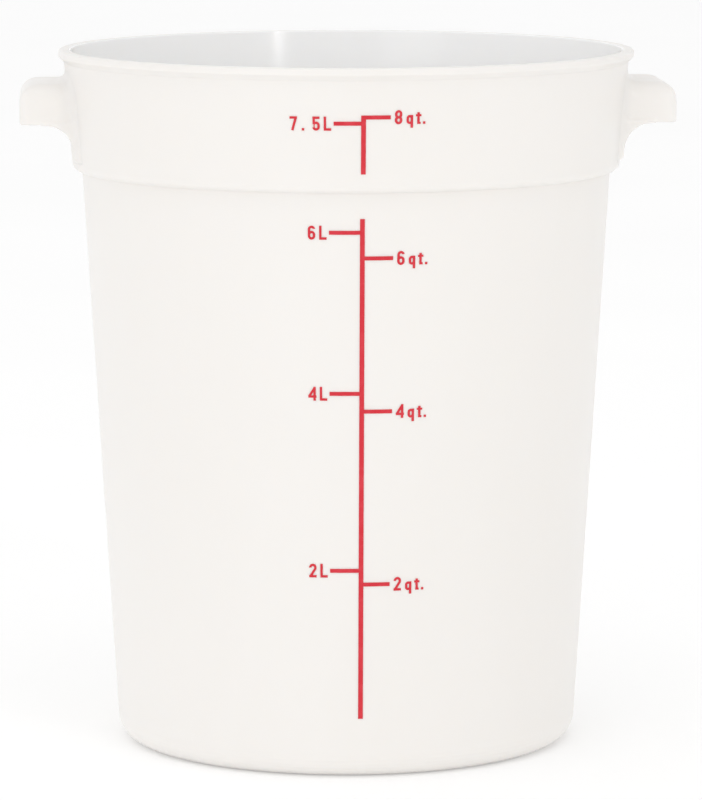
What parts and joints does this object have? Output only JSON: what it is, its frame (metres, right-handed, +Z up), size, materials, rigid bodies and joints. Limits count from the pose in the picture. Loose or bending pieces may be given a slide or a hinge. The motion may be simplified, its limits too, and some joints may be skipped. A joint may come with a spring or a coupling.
{
  "type": "round food storage container",
  "caption": "Open round tapered tub in milky translucent plastic, with a stacking collar, rim lip, lug handles and a red printed volume scale.",
  "frame": {"origin": "centre of the resting face, on the floor", "axes": "+Z up along the tub's axis, -Y towards the printed scale, +X and -X towards the handles"},
  "size_m": [0.2586, 0.227, 0.275],
  "materials": {
    "milky_polypropylene": "satin, translucent milky white",
    "red_print": "flat screen-printed ink"
  },
  "bodies": {
    "root": {"floor_panel": "milky_polypropylene", "base_corner": "milky_polypropylene", "body_wall": "milky_polypropylene", "stacking_collar": "milky_polypropylene", "rim_lip": "milky_polypropylene", "handle_left": "milky_polypropylene", "handle_right": "milky_polypropylene", "scale_line_upper": "red_print", "scale_line_lower": "red_print", "tick_8_qt": "red_print", "tick_6_qt": "red_print", "tick_4_qt": "red_print", "tick_2_qt": "red_print", "tick_7_5_l": "red_print", "tick_6_l": "red_print", "tick_4_l": "red_print", "tick_2_l": "red_print", "label_8_qt": "red_print", "label_6_qt": "red_print", "label_4_qt": "red_print", "label_2_qt": "red_print", "label_7_5_l": "red_print", "label_6_l": "red_print", "label_4_l": "red_print", "label_2_l": "red_print"}
  },
  "joints": []
}
